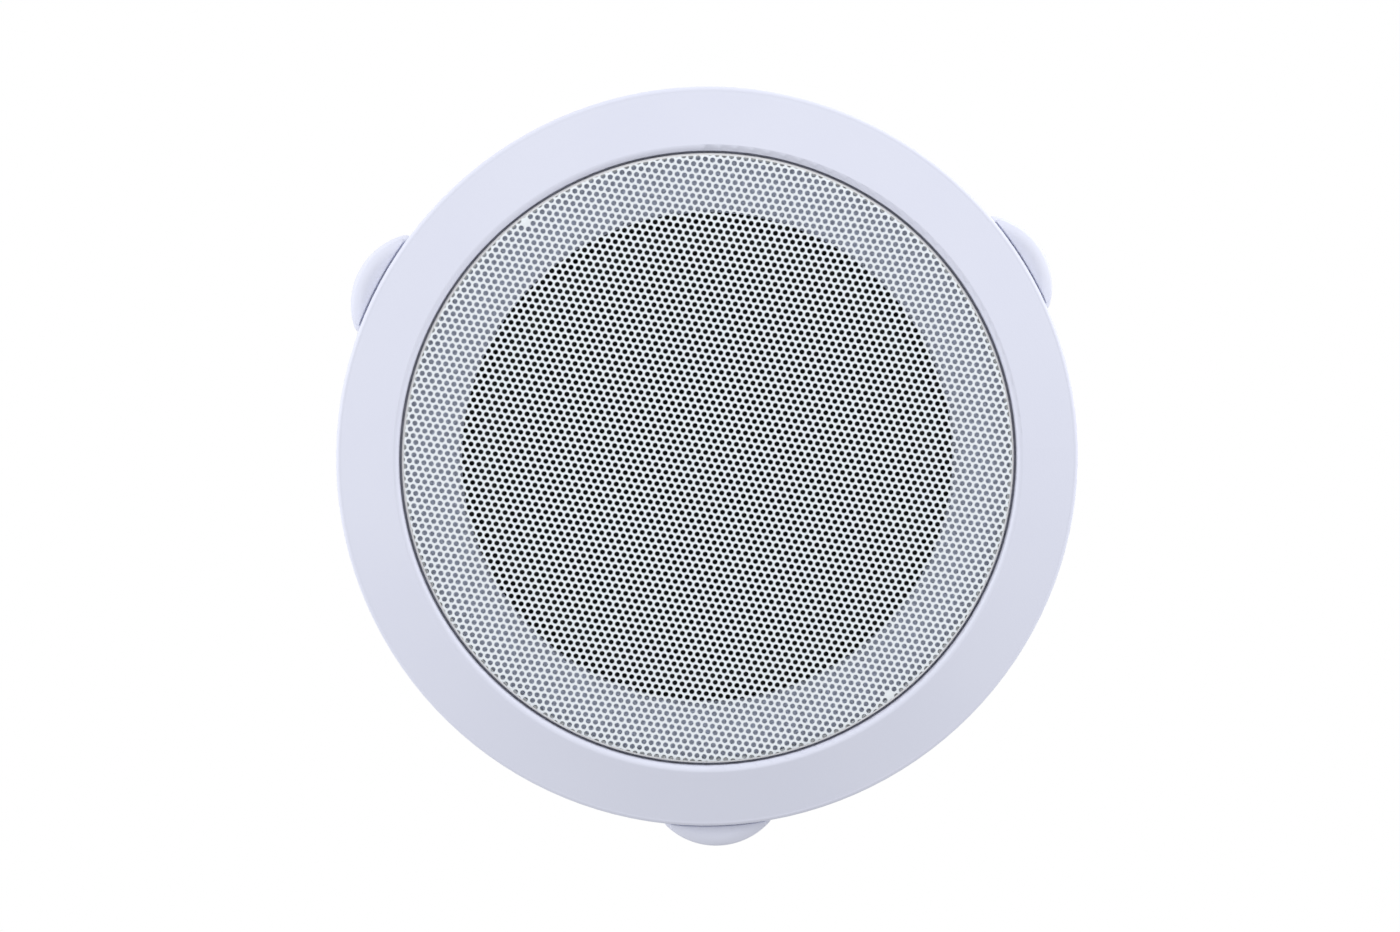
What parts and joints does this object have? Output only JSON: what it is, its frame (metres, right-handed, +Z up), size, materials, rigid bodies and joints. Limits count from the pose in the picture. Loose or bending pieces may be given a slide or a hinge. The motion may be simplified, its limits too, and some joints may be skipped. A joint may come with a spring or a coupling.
{
  "type": "in-ceiling speaker",
  "caption": "Round flush-mount ceiling loudspeaker: white moulded rim with a perforated grille, cone driver behind it, spring flaps that clamp the ceiling panel and push wire terminals.",
  "frame": {"origin": "on the speaker's axis, in the plane of the rim's rear face that meets the ceiling", "axes": "+Z up into the ceiling void, the grille faces -Z, the terminal is on the -Y side"},
  "size_m": [0.204, 0.2104, 0.0608],
  "materials": {
    "white_abs": "moulded white with a faint cool tint",
    "white_painted_steel": "satin white powder coat",
    "black_painted_steel": "black coat on pressed steel",
    "black_foam": "closed-cell foam",
    "black_rubber": "matte",
    "black_paper": "pressed pulp",
    "former_aluminium": "foil tube",
    "copper_wire": "enamelled winding",
    "spider_cloth": "resin-stiffened cloth",
    "zinc_steel": "zinc plated",
    "spring_steel": "drawn wire",
    "ferrite": "sintered, ground flat",
    "black_abs": "moulded",
    "red_abs": "moulded",
    "tinned_brass": "tinned",
    "fibre_board": "phenolic paper board",
    "black_pvc": "wire insulation",
    "red_pvc": "wire insulation",
    "tinsel_braid": "braided"
  },
  "bodies": {
    "frame": {"front_frame": "white_abs", "grille": "white_painted_steel", "gasket": "black_foam", "basket": "black_painted_steel", "surround": "black_rubber", "spider": "spider_cloth", "top_plate": "zinc_steel", "magnet": "ferrite", "yoke": "zinc_steel", "driver_screws": "zinc_steel", "terminal_body": "black_abs", "terminal_contacts": "tinned_brass", "terminal_screws": "zinc_steel", "tag_strip": "fibre_board", "solder_tags": "tinned_brass", "lead_black": "black_pvc", "lead_red": "red_pvc", "tinsel_leads": "tinsel_braid", "flap_pin_1": "zinc_steel", "flap_spring_1": "spring_steel", "flap_pin_2": "zinc_steel", "flap_spring_2": "spring_steel", "flap_pin_3": "zinc_steel", "flap_spring_3": "spring_steel"},
    "cone": {"cone": "black_paper", "dust_cap": "black_paper", "voice_coil_former": "former_aluminium", "voice_coil": "copper_wire"},
    "flap_1": {"flap_1": "white_abs"},
    "flap_2": {"flap_2": "white_abs"},
    "flap_3": {"flap_3": "white_abs"},
    "lever_black": {"terminal_lever_black": "black_abs"},
    "lever_red": {"terminal_lever_red": "red_abs"}
  },
  "joints": [
    {"name": "cone_travel", "type": "slide", "parent": "frame", "child": "cone", "axis": [0, 0, 1], "range_m": [-0.003, 0.003], "stiffness_N_per_m": 1200, "deforming": ["surround", "spider", "tinsel_leads"]},
    {"name": "flap_1_hinge", "type": "hinge", "parent": "frame", "child": "flap_1", "pos_m": [0, 0.0825, 0.014], "axis": [1, 0, 0], "range_deg": [0, 120], "stiffness_Nm_per_rad": 0.08, "springref_deg": -68.75, "deforming": ["flap_spring_1"]},
    {"name": "flap_2_hinge", "type": "hinge", "parent": "frame", "child": "flap_2", "pos_m": [-0.07145, -0.04125, 0.014], "axis": [-0.5, 0.866, 0], "range_deg": [0, 120], "stiffness_Nm_per_rad": 0.08, "springref_deg": -68.75, "deforming": ["flap_spring_2"]},
    {"name": "flap_3_hinge", "type": "hinge", "parent": "frame", "child": "flap_3", "pos_m": [0.07145, -0.04125, 0.014], "axis": [-0.5, -0.866, 0], "range_deg": [0, 120], "stiffness_Nm_per_rad": 0.08, "springref_deg": -68.75, "deforming": ["flap_spring_3"]},
    {"name": "lever_black_press", "type": "hinge", "parent": "frame", "child": "lever_black", "pos_m": [-0.0052, -0.076, 0.0272], "axis": [1, 0, 0], "range_deg": [0, 12], "stiffness_Nm_per_rad": 0.05, "springref_deg": -8.59},
    {"name": "lever_red_press", "type": "hinge", "parent": "frame", "child": "lever_red", "pos_m": [0.0052, -0.076, 0.0272], "axis": [1, 0, 0], "range_deg": [0, 12], "stiffness_Nm_per_rad": 0.05, "springref_deg": -8.59}
  ]
}
